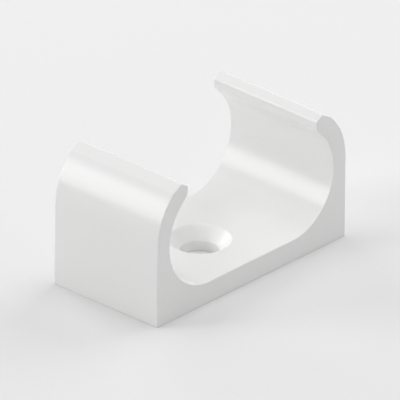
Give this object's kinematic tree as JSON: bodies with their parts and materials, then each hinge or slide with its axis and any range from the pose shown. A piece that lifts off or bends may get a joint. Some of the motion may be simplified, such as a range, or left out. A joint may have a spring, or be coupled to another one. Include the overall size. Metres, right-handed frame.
{
  "type": "double spring clip for pipes",
  "caption": "White plastic spring clip: a flat-backed channel with two inward-curving arms with beaded tips that snap over side-by-side pipes, fixed through a countersunk hole.",
  "frame": {"origin": "middle of the flat back that lies on the wall or joist", "axes": "+X across the clip from one arm to the other, +Y along the pipes, +Z away from the wall, out of the mouth"},
  "size_m": [0.0356, 0.0178, 0.019],
  "materials": {
    "clip_body": "white moulded plastic with a soft gloss and faint scuffs"
  },
  "bodies": {
    "root": {"clip_body": "clip_body"}
  },
  "joints": []
}
